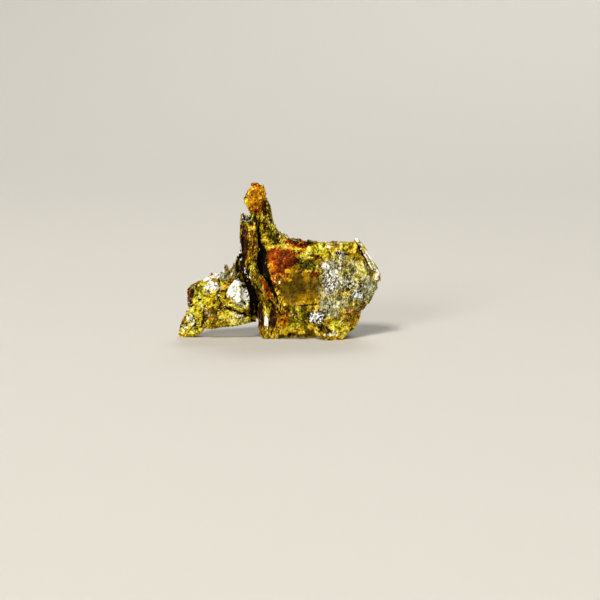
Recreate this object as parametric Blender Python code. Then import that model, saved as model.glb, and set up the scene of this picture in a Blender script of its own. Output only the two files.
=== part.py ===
"""Realgar with orpiment: one loose hand specimen, about 50 mm wide, standing on its broken base.

X runs along the specimen, Y goes back from its show face, Z is up. The origin is on the resting plane.
Orpiment cleaves into sheets, so the body is built as the real one formed: cleavage blocks with flat
faces, grown through each other, with sheets, plates and splinters standing on them, all one solid.
"""

import math
import random

import bmesh
import bpy
from mathutils import Euler, Matrix, Vector
from mathutils.bvhtree import BVHTree

NAME = "realgar_with_orpiment"

# Driving dimensions, in millimetres
WIDTH = 50.5  # from the wing's tail to the edge sheet
DRAWN_WIDTH = 50.5  # the width that the points below are written for
MM = 0.001 * WIDTH / DRAWN_WIDTH  # metres for each millimetre drawn
ROOT = 1.8  # how deep a plate is rooted in the block that it grows from
STEP = (0.06, 0.4)  # the least and the most that a cleavage plate stands proud
FLARE = 1.15  # how much wider a plate is at its root than at its face
FIT = 0.8  # how much smaller a plate is tried where it would reach past the edge of its block
SKIN = 1.5  # how much a plate faces as the surface under it does, against 1 for the cleavage
SPREAD = (0.7549, 0.5698)  # two irrational fractions: steps of them spread the plates evenly with no rows
POINTED = 3.5  # how many times wider a splinter is at its foot than at its tip
THIN = 0.6  # a splinter's depth for its width
FAR = 40.0  # beyond the specimen on every side

SEED = 7
ORPIMENT_YELLOW = (0.62, 0.36, 0.02, 1)

# Cleavage blocks: the corners of each, (x, y, z)
BLOCKS = {
    # the broad right-hand mass
    "heart": [
        (-2.4, -3, 6), (-1.6, -4, 13.6), (8, -4.8, 17), (19, -3.4, 17), (22.2, -2.2, 12), (20.6, -2.8, 7.5),
        (16.4, -4.4, 2), (2, -3.8, 2.4), (-2.8, 5.5, 4), (-2.5, 5, 14), (6, 8.6, 17), (18, 6.2, 17.5),
        (20.5, 5.6, 9), (16, 7.5, 2), (5, 9, 2.5),
    ],
    "crown": [
        (-3.2, -2.8, 17), (-3.3, -2.2, 21.5), (2.4, -2.5, 24.6), (8.6, -2.4, 24.1), (10, -4.6, 16),
        (-1.6, -4.2, 15.4), (-2.5, 4, 21), (4, 5.2, 24), (9.4, 4.4, 22.5), (8, 7.5, 16), (-2, 5.5, 16),
    ],
    "shoulder": [
        (8, -2.6, 23.7), (18.6, -2.2, 23.9), (19.8, -3, 19), (21, -3, 14), (9, -4.9, 15), (7, 4.6, 23),
        (17.5, 3.6, 23.4), (19.5, 5, 15), (9, 6.8, 15),
    ],
    "flank": [
        (17, -4.4, 15), (22.3, -2.6, 18.3), (24.4, -1.2, 14.4), (24.5, -1.4, 12.4), (22.8, -1.8, 9.6),
        (20.9, -2.4, 7), (17, -4.8, 8), (23, 3.6, 15), (22, 4.6, 9), (19, 5.5, 8), (19, 6, 16),
    ],
    "toe": [
        (9, -5.2, 1.7), (10.9, -5.6, 0.4), (12.4, -5.9, -1.2), (13.5, -5.7, -0.8), (15.7, -5, 0.2),
        (17.9, -4.2, 2.3), (20, -3.2, 5), (20.8, -2.4, 8), (12, -6, 9), (9, -5.4, 6), (18.4, 2, 2.6),
        (15, 3, -1.6), (10.4, 1, -0.8), (19.5, 3, 7),
    ],
    "silver_face": [
        (10, -5.6, 18), (17.5, -4.4, 18.4), (19.5, -4, 13), (17.5, -5.2, 7.5), (11.2, -6.4, 6.5),
        (9.8, -6.1, 12), (12, 0, 18), (18, 0, 17), (18, 0, 8), (11, 0, 7),
    ],
    "amber_window": [
        (0.2, -5.1, 8.8), (-0.6, -4.9, 11.6), (-1.3, -4.7, 14.6), (0.4, -4.9, 16.8), (4, -5.3, 18.6),
        (9.4, -5.5, 18.8),
        (10.4, -5.9, 15), (10.1, -6.1, 9.2), (9, -6.1, 8.2), (1.5, 0, 9), (1, 0, 15), (5, 0, 18),
        (9.5, 0, 18), (9.5, 0, 9),
    ],
    "red_heart": [
        (-3.2, -3.6, 20.8), (-3.2, -4, 18.2), (-1.8, -4.4, 14.6), (1.6, -4.9, 14.8), (4.8, -4.7, 20),
        (3.8, -3.4, 22.6), (-0.8, -3, 23), (-1.5, 0, 20), (-0.5, 0, 16), (3, 0, 17), (3, 0, 22),
    ],
    "olive_foot": [
        (0.4, -4.6, 8.4), (8.6, -5.3, 8.2), (9.4, -5.2, 2.8), (6.2, -4.5, 2.2), (2.7, -4.3, 2.1),
        (0.4, -4, 1.4), (0, 0, 8), (8, 0, 8), (8, 0, 2.4), (1, 0, 1.4),
    ],
    "bump": [
        (-2, -2.6, 24.8), (-0.9, -1.9, 26.3), (0.6, -1.8, 26.6), (2, -2, 25.7), (3.4, -2.2, 24.2),
        (2, -3.4, 22.6), (-3, -3.2, 22.4), (-1, 2.6, 26), (2, 2.4, 25), (3, 2.4, 22), (-3, 2.6, 22),
    ],
    # the prism and the orange block at the foot of the crevice
    "prism": [
        (-4.2, -3.4, 9.4), (-3.4, -4.4, 9), (-2.6, -4.4, 6), (-2.5, -4.2, 2.2), (-3.3, -3.6, -1),
        (-4.8, -2.8, 1.4), (-5.2, -2.6, 6), (-5, -2, 8.6), (-2, 2, 8), (-2, 2, -1), (-5, 1.5, 1.5),
        (-5, 1.5, 8),
    ],
    "prism_side": [
        (-3, -3.8, 8.8), (-1, -4.2, 7.4), (0.2, -4.3, 4.6), (-0.2, -4, 1.2), (-1.4, -3.6, -1),
        (-2.7, -3.7, 1),
        (-2.6, -3.9, 6), (0, 2, 7), (0, 2, -1), (-3, 2, -1), (-3, 2, 8),
    ],
    "orange_block": [
        (-0.8, -4.7, 6.4), (0.6, -4.9, 6), (2.2, -4.7, 3.2), (2.4, -4.2, 1.6), (-0.6, -3.9, 0.5),
        (-1, -4.2, 3), (0, 0, 6), (3, 0, 3), (0, 0, 0),
    ],
    # the back and the foot
    "back_slab": [
        (-8, 3, 5), (-9, 2.5, 12), (-6, 3, 17.5), (0, 3.4, 20), (10, 4, 20), (6, 9.2, 14), (12, 9.4, 9),
        (11, 10.2, 3), (-2, 8.8, 8), (-4, 7.4, 3), (2, 9.6, 2),
    ],
    "heel": [
        (-1.4, -1.8, -1), (4.6, -1.8, -0.6), (9, -0.8, -1), (15, 2, -2), (16.5, 6.4, -1), (11, 9.6, -2),
        (4, 9.8, -1), (-1, 7, -1), (-3.6, 3, -1), (0, 0, 4), (15.6, 1, 4), (17.4, 7, 4), (8, 10.8, 4),
        (-2.4, 8.4, 4), (-4.4, 4, 4),
    ],
    # the spire
    "spire_root": [
        (-8.4, 0.6, 14), (-9.2, 0, 20), (-8.6, 0.4, 26), (-1.4, -1.4, 24), (-1.4, -1.8, 18), (-1.6, 0, 14),
        (-8, 4.8, 14), (-8, 4, 23), (-2, 4.6, 24.5), (-1, 5.6, 14),
    ],
    "spire_back": [
        (-8.2, 0.8, 24), (-7.8, 1, 29), (-6.6, 1, 31.5), (-3.4, 0.6, 33), (-1.6, 0.6, 28), (-1.4, 0, 24),
        (-7.4, 3.4, 24), (-7, 3, 29.6), (-5, 2.8, 32.6), (-3, 3, 32), (-1.6, 3.8, 24),
    ],
    "right_leaf": [
        (-4.5, -1.2, 22), (-4.3, -1, 30.2), (-3.9, -0.8, 34.6), (-3.3, -0.4, 34.8), (-2.1, -0.2, 32.8),
        (-1.6, -0.4, 29.6), (-1.1, -0.8, 27.2), (-0.9, -1.6, 22), (-4.2, 3.4, 22), (-4.2, 2.8, 30),
        (-3, 2.4, 33.6), (-1.6, 2.8, 28), (-1, 3.8, 22),
    ],
    "knob": [
        (-6.4, 0.4, 38.6), (-5.8, 0.4, 38.6), (-3.6, 0.3, 37.6), (-3.2, 0.4, 36.2), (-3.8, -0.9, 34.2),
        (-5.4, -1.5, 34), (-7.4, -1.2, 34), (-8.7, 0, 34.8), (-8.7, 0, 33.4), (-7.8, -0.5, 32),
        (-6.9, -0.9, 30.8), (-5.1, -1, 30), (-4.1, -0.9, 31.2), (-6.4, 2.2, 37), (-4.2, 2.2, 36),
        (-7.6, 2.2, 33), (-4.4, 2.6, 30), (-7.6, 0.4, 36.2),
    ],
    "left_leaf_top": [
        (-9.6, -1.4, 29.2), (-9.1, -1, 30.3), (-8.3, -1, 30.7), (-7.1, -1.8, 29.6), (-6.2, -2.3, 28.4),
        (-5.8, -2.6, 26.8), (-5.5, -2.9, 24), (-9.5, -2, 24), (-9.2, 2, 29), (-7, 1.6, 29),
        (-6.2, 1.4, 24), (-9.2, 2.4, 24),
    ],
    "left_leaf_middle": [
        (-9.5, -2, 25), (-5.5, -2.9, 25), (-4.9, -3, 22.2), (-5.2, -3.2, 20.6), (-5.7, -3.3, 17),
        (-8, -2.8, 15), (-9.2, -2.2, 19), (-9.3, 2.4, 25), (-6.4, 0.8, 24), (-6.2, 1, 17), (-8, 2.5, 15),
        (-9.2, 2, 20),
    ],
    "left_leaf_bend": [
        (-7.6, -2.8, 18.4), (-5.7, -3.3, 18), (-5.3, -3.6, 16), (-4, -3.8, 15.6), (-2.8, -4, 13.2),
        (-4.6, -3.8, 11.4), (-6.1, -3.4, 13), (-7.2, -3, 15), (-8, 1.5, 17), (-5.4, 1, 16), (-3, 1, 13),
        (-6, 2, 13),
    ],
    "left_leaf_tail": [
        (-5, -3.8, 12.2), (-3.9, -4, 15), (-2.5, -4.3, 13), (-1.4, -4.5, 10.9), (0.2, -4.8, 8.2),
        (1.1, -4.9, 6.6), (0.3, -4.7, 6), (-1.5, -4.5, 8.4), (-3.4, -4.2, 10.4), (-4, 0.5, 12.5),
        (-1, 0.5, 10), (-1, 0, 8),
    ],
    # the wing
    "wing_upper": [
        (-22.4, -2.8, 6.8), (-18.8, -4.2, 9.2), (-14.6, -4.8, 8.8), (-12.4, -4.9, 7.4), (-7.6, -4.1, 5.6),
        (-22.9, -1.2, 12.3), (-21.4, -0.6, 13.5), (-18, -0.1, 15.2), (-14.4, 0, 15.6), (-10.4, -0.3, 15.2),
        (-8.9, -1.2, 13.6), (-7.4, -2.6, 9.6), (-21.6, 2.4, 11.4), (-14, 3.8, 13.6), (-9, 4, 12.6),
        (-8.5, 4.6, 6.5), (-20.8, 3, 6.6),
    ],
    "wing_plate_left": [
        (-19.2, -2.6, 13.6), (-16.6, -2, 15), (-15, -2.4, 14.4), (-14.9, -3.6, 12), (-16.2, -4.3, 10.6),
        (-18.6, -4, 11.2), (-19, 0, 13), (-15.4, 0, 14.4), (-15.4, 0, 10.6), (-18, 0, 10.6),
    ],
    "wing_plate_right": [
        (-12.9, -3, 13.2), (-11, -2.2, 14.8), (-9.8, -2.4, 14.2), (-9.4, -3.4, 12.2), (-11.6, -4.9, 9.4),
        (-13, -4.6, 9.8), (-12.6, 0, 13), (-10, 0, 14), (-10, 0, 10), (-12.8, 0, 9.6),
    ],
    "wing_lower": [
        (-20, -3.4, 8), (-18.2, -4.4, 9.2), (-14.8, -5, 8.6), (-12.4, -5, 7.2), (-6.6, -4, 5.2),
        (-5.6, -3.4, 4.4), (-7.4, -3, 3.8), (-13.6, -2.6, 3), (-17.8, -2.2, 2), (-20, -2.4, 3),
        (-20, 2.8, 6), (-17.5, 3, 3), (-9, 4.4, 3.8), (-7, 4.4, 5.4),
    ],
    "wing_facet": [
        (-18.4, -4.6, 8), (-15, -5.2, 8.4), (-16.8, -4, 3.2), (-18.4, -3.4, 4), (-17, 0, 8), (-15, 0, 8),
        (-17, 0, 3),
    ],
    "wing_tail": [
        (-25.25, -0.4, 1), (-24.8, -0.7, 2.9), (-23.5, -1.4, 4.5), (-22.8, -2, 6.8), (-20.4, -3, 7),
        (-18.8, -2.4, 2.3), (-19.6, -1.8, 1.1), (-22.2, -1.2, -0.8), (-24.2, -0.6, -0.2), (-24.6, 1.6, 1.2),
        (-22.4, 2.8, 4.6), (-18, 2.6, 3), (-22, 1.8, -0.8),
    ],
    # sheets that stand free, seen on edge
    "edge_sheet": [
        (18.5, -2.4, 24.2), (19, -2.6, 25.3), (20.2, -2.6, 24), (25.2, -2.4, 16), (25.25, -2.2, 14.9),
        (24.7, -2, 13.8), (24.1, -2.2, 14.2), (19.4, 2.4, 23), (20.4, 3.6, 22.6), (24.6, 2.6, 16.6),
        (24.2, 1.4, 14.6), (22.2, 3.8, 19), (21.4, 3.2, 18.6),
    ],
    "edge_sheet_inner": [
        (18, -3.2, 24), (18.7, -3.4, 24), (22.5, -3.2, 15.2), (21.6, -3.4, 14.6), (18.8, -3.5, 21),
        (18.6, 1, 23), (19.6, 1, 22), (22.6, 1.4, 15.4), (21.6, 1.2, 15),
    ],
    "spire_rib_outer": [
        (-9.7, -2.4, 26), (-9.3, -2.3, 27.8), (-9, -2.7, 24), (-8.9, -2.6, 17), (-9.3, -2.2, 17.4),
        (-9.6, -2.2, 21), (-9, 0, 26), (-9, 0, 17.4),
    ],
    "spire_rib_inner": [
        (-8.6, -2.9, 25), (-8.2, -2.8, 26.6), (-7.7, -3.4, 22), (-7.3, -3.4, 14.8), (-7.9, -2.8, 14.2),
        (-8.3, -2.9, 20), (-8, 0, 25), (-7.6, 0, 14.8),
    ],
    # what joins the wing to the rest, behind the crevice
    "web": [
        (-12.2, 1.8, 16.2), (-10.6, 1.4, 19.6), (-9.6, 1.2, 21.4), (-7, 1.4, 20), (-6, 1, 10), (-7, 0.8, 5),
        (-12, 1.4, 6), (-12.2, 5, 15.2), (-9, 5, 19), (-6, 5.6, 18), (-5, 6.4, 6), (-11, 5.4, 5),
    ],
}

# The sides that plates are set from: the two axes across the side, the axis through it, and its sign
SIDES = {
    "front": (0, 2, 1, -1), "back": (0, 2, 1, 1), "top": (0, 1, 2, 1), "right": (1, 2, 0, 1),
    "left": (1, 2, 0, -1),
}

# Cleavage plates: where they grow, from and to along the side's two axes, how many, the least and most
# radius, how much longer than wide, the way that their cleavage faces, and the side they are on
PLATES = {
    "silver": ((10, 23.6), (5.5, 18.6), 24, (1.3, 2.7), 1.5, (0.16, -0.97, 0.14), "front"),
    "crown": ((4.6, 18), (19, 23.2), 11, (1.1, 2.1), 1.3, (0.05, -0.9, 0.4), "front"),
    "red": ((-2.6, 4), (17, 22.4), 6, (0.8, 1.4), 1.2, (-0.1, -0.93, 0.3), "front"),
    "toe": ((10, 19), (1.6, 6), 9, (1, 1.9), 1.2, (0.2, -0.97, -0.1), "front"),
    "olive": ((1.6, 8.6), (2.8, 7.2), 6, (0.9, 1.7), 1.4, (0, -1, 0.05), "front"),
    "flake_low": ((8.2, 11), (3.8, 5.8), 4, (0.7, 1.1), 1.3, (0.1, -0.9, -0.3), "front"),
    "flake_high": ((18.2, 20.8), (9.8, 11.6), 4, (0.7, 1), 1.6, (0.3, -0.9, 0.3), "front"),
    "bump": ((-2, 3), (23, 26), 6, (0.7, 1.2), 1.2, (-0.1, -0.8, 0.6), "front"),
    "wing_upper": ((-22, -8.6), (8.4, 14.8), 14, (0.8, 1.7), 1.3, (-0.1, -0.85, 0.5), "front"),
    "wing_lower": ((-15, -7.6), (4, 7.2), 6, (0.8, 1.6), 1.5, (-0.05, -0.95, -0.3), "front"),
    "tail": ((-24.4, -19), (0.8, 6), 9, (0.6, 1.2), 1.2, (-0.3, -0.9, 0.2), "front"),
    "knob": ((-8, -3.8), (31.6, 37.4), 7, (0.7, 1.2), 1.3, (-0.2, -0.9, 0.3), "front"),
    "left_leaf": ((-9.2, -5.8), (18, 29.6), 7, (0.6, 1.1), 2.4, (-0.2, -0.97, 0), "front"),
    "right_leaf": ((-4.2, -1.4), (24, 33), 5, (0.5, 0.9), 2.6, (0.2, -0.97, 0.05), "front"),
    "back": ((-4, 22), (2, 22.6), 24, (1.4, 3.2), 1.3, (0.15, 0.96, 0.2), "back"),
    "spire_back": ((-8, -2), (22, 36), 6, (0.7, 1.4), 2.0, (0, 0.98, 0.1), "back"),
    "wing_back": ((-22, -8), (3, 14), 10, (1.2, 2.6), 1.3, (-0.1, 0.9, 0.3), "back"),
    "top": ((-1.6, 17.6), (-1.6, 3.8), 12, (0.8, 1.7), 0.8, (0, -0.1, 1), "top"),
    "right": ((-1.4, 4), (4, 13), 7, (0.9, 1.7), 1.4, (0.95, 0, -0.2), "right"),
    "wing_end": ((-1, 2.2), (6, 11.6), 4, (0.7, 1.3), 1.4, (-1, 0, 0.1), "left"),
}

# Splinters: where each row begins and ends (x, y, z), how many, their height and their width
SPLINTERS = {
    "wing_fringe": ((-16.6, 0, 14.8), (-9.8, 0, 14.6), 7, 1.9, 2.0),
    "wing_tuft": ((-13.4, 0.8, 15), (-11.7, 0.6, 15.2), 3, 3.2, 2.0),
    "leaf_top": ((-9, -0.6, 29.4), (-7.2, -1, 29.2), 4, 1.6, 1.2),
    "crevice": ((-6.6, 0.6, 5.6), (-7.4, 0.8, 11), 4, 3, 1.6),
}


def new_object(name, mesh, collection):
    obj = bpy.data.objects.new(name, mesh)
    collection.objects.link(obj)
    return obj


def hull(name, points, collection, place=Matrix.Identity(4)):
    """The smallest convex block round the given points, put in place by a matrix, both in millimetres."""
    bm = bmesh.new()
    for point in points:
        bm.verts.new(place @ Vector(point) * MM)
    found = bmesh.ops.convex_hull(bm, input=bm.verts)
    inside = {v for v in found["geom_interior"] if isinstance(v, bmesh.types.BMVert)}
    bmesh.ops.delete(bm, geom=list(inside), context="VERTS")
    bmesh.ops.recalc_face_normals(bm, faces=bm.faces)
    mesh = bpy.data.meshes.new(name)
    bm.to_mesh(mesh)
    bm.free()
    return new_object(name, mesh, collection)


def ring(rng, sides, radius, longer, height):
    """The corners of an uneven polygon at one height, longer along Y than along X."""
    corners = []
    for side in range(sides):
        turn = math.tau * (side + rng.uniform(-0.3, 0.3)) / sides
        reach = radius * rng.uniform(0.78, 1.15)
        corners.append((reach * math.cos(turn), reach * longer * math.sin(turn), height))
    return corners


def strike(surface, side, across, up):
    """Where a line straight into one side meets the surface, and the surface's normal there."""
    first, second, through, sign = SIDES[side]
    start = Vector()
    start[first], start[second], start[through] = across, up, sign * FAR
    into = Vector()
    into[through] = -sign
    spot, normal, *_ = surface.ray_cast(start * MM, into)
    return spot, normal


def grow_plates(name, patch, surface, rng, collection):
    """Thin plates over a patch of the surface, their faces turned nearly the same way, as one cleavage is."""
    (low, high), (bottom, top), count, radii, longer, facing, side = patch
    first, second, *_ = SIDES[side]
    for index in range(count):
        across = low + (high - low) * (index * SPREAD[0] % 1)
        up = bottom + (top - bottom) * (index * SPREAD[1] % 1)
        radius = rng.uniform(*radii)
        lean = Vector([rng.uniform(-0.1, 0.1) for _ in range(3)])
        turn = Matrix.Rotation(rng.uniform(-0.4, 0.4), 4, "Z")
        sides = rng.choice((5, 6, 7))
        face = ring(rng, sides, radius, longer, rng.uniform(*STEP))
        spot, normal = strike(surface, side, across, up)
        if spot is None:
            continue
        out = (normal * SKIN + Vector(facing) + lean).normalized()
        turned = Matrix.Translation(spot / MM) @ out.to_track_quat("Z", "Y").to_matrix().to_4x4() @ turn
        for size in (1, FIT, FIT**2, FIT**3):
            place = turned @ Matrix.Diagonal((size, size, 1, 1))
            edge = [place @ Vector(corner) for corner in face]
            if all(strike(surface, side, corner[first], corner[second])[0] for corner in edge):
                root = [(corner[0] * FLARE, corner[1] * FLARE, -ROOT) for corner in face]
                hull(f"{name}_{index:02d}", face + root, collection, place)
                break


def grow_splinters(name, row, rng, collection):
    """A row of upright splinters of uneven height, thinner from front to back than across."""
    begin, end, count, height, width = row
    for index in range(count):
        spot = Vector(begin).lerp(Vector(end), index / (count - 1))
        tall = height * rng.uniform(0.6, 1)
        lean = Euler((rng.uniform(-0.2, 0.15), rng.uniform(-0.35, 0.3), rng.uniform(-0.7, 0.7)))
        points = ring(rng, 5, width / 2, THIN, -1) + ring(rng, 4, width / 2 / POINTED, THIN, tall)
        place = Matrix.Translation(spot) @ lean.to_matrix().to_4x4()
        hull(f"{name}_{index:02d}", points, collection, place)


def fill_closed_gaps(mesh):
    """Deletes each shell that faces into a gap with no way out, so that the rock is solid there."""
    bm = bmesh.new()
    bm.from_mesh(mesh)
    unseen = set(bm.faces)
    while unseen:
        shell = [unseen.pop()]
        for face in shell:
            around = {other for edge in face.edges for other in edge.link_faces} & unseen
            unseen -= around
            shell.extend(around)
        # three times the signed volume of the cones from the origin to each face, below zero inside a gap
        cones = sum(face.calc_area() * face.normal.dot(face.verts[0].co) for face in shell)
        if cones < 0:
            bmesh.ops.delete(bm, geom=shell, context="FACES")
            unseen = {face for face in unseen if face.is_valid}
    bm.to_mesh(mesh)
    bm.free()


def join_all(name, pieces, target):
    """One solid of everything in a collection, by an exact union, left in the target collection."""
    first, *others = list(pieces.objects)
    pieces.objects.unlink(first)
    target.objects.link(first)
    union = first.modifiers.new("grown together", "BOOLEAN")
    union.operation = "UNION"
    union.solver = "EXACT"
    union.operand_type = "COLLECTION"
    union.collection = pieces
    union.use_self = True
    graph = bpy.context.evaluated_depsgraph_get()
    mesh = bpy.data.meshes.new_from_object(first.evaluated_get(graph))
    fill_closed_gaps(mesh)
    for obj in (first, *others):
        bpy.data.objects.remove(obj)
    return new_object(name, mesh, target)


def cut_flat(specimen, cutters):
    """Cuts the specimen off flat at the resting plane, with a block that reaches past it all round."""
    corners = [(x, y, z) for x in (-FAR, FAR) for y in (-FAR, FAR) for z in (-FAR, 0)]
    ground = hull("resting_plane", corners, cutters)
    ground.hide_render = True
    ground.display_type = "WIRE"
    cut = specimen.modifiers.new("flat base", "BOOLEAN")
    cut.operation = "DIFFERENCE"
    cut.solver = "EXACT"
    cut.object = ground


def orpiment():
    """Golden, between resinous and pearly, as a fresh cleavage is."""
    material = bpy.data.materials.new("golden orpiment")
    material.use_nodes = True
    shader = material.node_tree.nodes["Principled BSDF"]
    shader.inputs["Base Color"].default_value = ORPIMENT_YELLOW
    shader.inputs["Roughness"].default_value = 0.35
    shader.inputs["Metallic"].default_value = 0
    return material


def main():
    for obj in list(bpy.data.objects):
        bpy.data.objects.remove(obj)
    finished, pieces, cutters = (
        bpy.data.collections.new(name) for name in ("realgar with orpiment", "grown pieces", "cutters")
    )
    for collection in (finished, pieces, cutters):
        bpy.context.scene.collection.children.link(collection)
    rng = random.Random(SEED)
    for name, points in BLOCKS.items():
        hull(name, points, pieces)
    blocks = join_all("blocks", pieces, finished)
    surface = BVHTree.FromObject(blocks, bpy.context.evaluated_depsgraph_get())
    finished.objects.unlink(blocks)
    pieces.objects.link(blocks)
    for name, patch in PLATES.items():
        grow_plates(name, patch, surface, rng, pieces)
    for name, row in SPLINTERS.items():
        grow_splinters(name, row, rng, pieces)
    specimen = join_all(NAME, pieces, finished)
    specimen.data.materials.append(orpiment())
    cut_flat(specimen, cutters)


main()
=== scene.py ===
# Realgar with orpiment: the looks of one hand specimen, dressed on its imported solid.
# Lengths are in millimetres until a mesh is made. X runs along the piece, Y goes back, Z is up.
import itertools
import math

import bmesh
import bpy
import numpy as np
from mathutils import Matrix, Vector


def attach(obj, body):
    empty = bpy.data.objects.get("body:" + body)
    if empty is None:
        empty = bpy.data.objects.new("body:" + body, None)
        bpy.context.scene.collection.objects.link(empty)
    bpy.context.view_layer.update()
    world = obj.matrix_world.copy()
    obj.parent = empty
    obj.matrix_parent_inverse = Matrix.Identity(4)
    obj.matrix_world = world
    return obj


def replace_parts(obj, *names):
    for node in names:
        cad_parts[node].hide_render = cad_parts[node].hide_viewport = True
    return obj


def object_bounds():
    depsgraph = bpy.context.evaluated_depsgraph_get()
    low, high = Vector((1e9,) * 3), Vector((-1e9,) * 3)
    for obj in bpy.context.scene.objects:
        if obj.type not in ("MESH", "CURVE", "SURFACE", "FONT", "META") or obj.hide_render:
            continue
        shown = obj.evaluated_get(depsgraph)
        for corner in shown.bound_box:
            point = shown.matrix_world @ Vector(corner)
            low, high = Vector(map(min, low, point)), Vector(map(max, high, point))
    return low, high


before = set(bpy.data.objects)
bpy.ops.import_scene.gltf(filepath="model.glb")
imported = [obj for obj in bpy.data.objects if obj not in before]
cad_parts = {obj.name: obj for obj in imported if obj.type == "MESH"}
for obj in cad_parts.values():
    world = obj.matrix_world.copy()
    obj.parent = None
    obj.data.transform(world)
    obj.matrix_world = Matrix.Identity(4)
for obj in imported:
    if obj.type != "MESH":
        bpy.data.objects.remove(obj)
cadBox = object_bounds()
nodeName = "realgar_with_orpiment"
mm = 0.001
facetTurn = np.array([[0.36, 0.48, -0.8], [-0.8, 0.6, 0], [0.48, 0.64, 0.6]])  # turns facets off the axes
print("frame loaded")


def linear(hexColour):
    # each sRGB channel: over 12.92 when dark, else ((c + 0.055) / 1.055) to the power 2.4
    channels = [int(hexColour[i:i + 2], 16) / 255 for i in (1, 3, 5)]
    return tuple(c / 12.92 if c <= 0.04045 else ((c + 0.055) / 1.055) ** 2.4 for c in channels) + (1.0,)


def ramp(low, high, x):
    # 0 below low, 1 above high, and the smooth cubic 3t2 - 2t3 between
    t = np.clip((x - low) / (high - low), 0, 1)
    return t * t * (3 - 2 * t)


def unit(vectors):
    # each vector over its own length
    vectors = np.asarray(vectors, float)
    return vectors / np.maximum(np.linalg.norm(vectors, axis=-1, keepdims=True), 1e-9)


def shuffled(cells, seed):
    # one number from 0 to 1 for each whole-number cell: its coordinates times primes, with the bits mixed
    c = cells.astype(np.int64)
    bits = (c[..., 0] * 73856093) ^ (c[..., 1] * 19349663) ^ (c[..., 2] * 83492791) ^ (seed * 39916801)
    for shift in (13, 16):
        bits = ((bits ^ (bits >> shift)) & 0xFFFFFFFF) * 1274126177
    return ((bits >> 7) & 0xFFFFFF) / 0xFFFFFF


def noise(points, size, seed):
    # -1 to 1: random numbers at the corners of cubes of this size, blended smoothly between them
    q = points / size
    base = np.floor(q)
    blend = q - base
    blend = blend * blend * (3 - 2 * blend)
    total = 0
    for corner in itertools.product((0, 1), repeat=3):
        weight = np.prod(np.where(corner, blend, 1 - blend), axis=-1)
        total = total + weight * shuffled(base + corner, seed)
    return 2 * total - 1


def fractal(points, size, octaves, seed):
    # noise plus half as much at half the size, and so on
    layers = [noise(points, size / 2 ** i, seed + 17 * i) / 2 ** i for i in range(octaves)]
    return sum(layers) / (2 - 2 ** (1 - octaves))


def facets(points, size, seed):
    # -1 to 1 in flat faces that meet along sharp creases: each cube of this size is split into six
    # tetrahedra by the order of the point's three fractions, and the corners' random numbers are blended
    # straight across each
    turned = points @ facetTurn.T / size + seed * 0.37
    base = np.floor(turned)
    part = turned - base
    order = np.argsort(-part, axis=-1)
    sortedPart = np.take_along_axis(part, order, axis=-1)
    rows = np.arange(len(points))
    corner = base.copy()
    total = (1 - sortedPart[:, 0]) * shuffled(corner, seed)
    for step in range(3):
        corner[rows, order[:, step]] += 1
        nextPart = sortedPart[:, step + 1] if step < 2 else 0
        total = total + (sortedPart[:, step] - nextPart) * shuffled(corner, seed)
    return 2 * total - 1


def crystals(points, size, seed):
    # the number of the nearest of random centres, one to each cube of this size
    q = points / size
    base = np.floor(q)
    best = np.full(len(q), 9.0)
    number = np.zeros(len(q))
    for corner in itertools.product((-1, 0, 1), repeat=3):
        cell = base + corner
        jitter = np.stack([shuffled(cell, seed + k) for k in (1, 2, 3)], axis=-1)
        far = ((q - (cell + 0.5 + 0.85 * (jitter - 0.5))) ** 2).sum(axis=-1)
        number = np.where(far < best, shuffled(cell, seed + 9), number)
        best = np.minimum(best, far)
    return number


def madeMesh(name, points, faces, attributes, material, sharp=None):
    # a mesh object at the origin, its points in millimetres, with a number or a vector a point for each
    # attribute
    mesh = bpy.data.meshes.new(name)
    mesh.from_pydata(np.asarray(points) * mm, [], faces)
    for key, values in attributes.items():
        kind, part = ("FLOAT", "value") if np.ndim(values) == 1 else ("FLOAT_VECTOR", "vector")
        layer = mesh.attributes.new(key, kind, "POINT")
        layer.data.foreach_set(part, np.asarray(values, np.float32).ravel())
    mesh.materials.append(material)
    if sharp is None:
        mesh.shade_flat()
    else:
        mesh.shade_smooth()
        mesh.set_sharp_from_angle(angle=math.radians(sharp))
    piece = bpy.data.objects.new(name, mesh)
    bpy.context.scene.collection.objects.link(piece)
    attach(piece, "root")
    return piece


def addNode(tree, kind, settings, links):
    # a shader node: settings by input number or property name, colour stops for a ramp, links by input number
    node = tree.nodes.new("ShaderNode" + kind)
    for key, value in settings.items():
        if key == "stops":
            stops = node.color_ramp.elements
            while len(stops) < len(value):
                stops.new(0.5)
            for stop, (position, hexColour) in zip(stops, value):
                stop.position = position
                stop.color = linear(hexColour)
        elif isinstance(key, int):
            node.inputs[key].default_value = value
        else:
            setattr(node, key, value)
    for key, source in links.items():
        tree.links.new(source, node.inputs[key])
    return node


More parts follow.
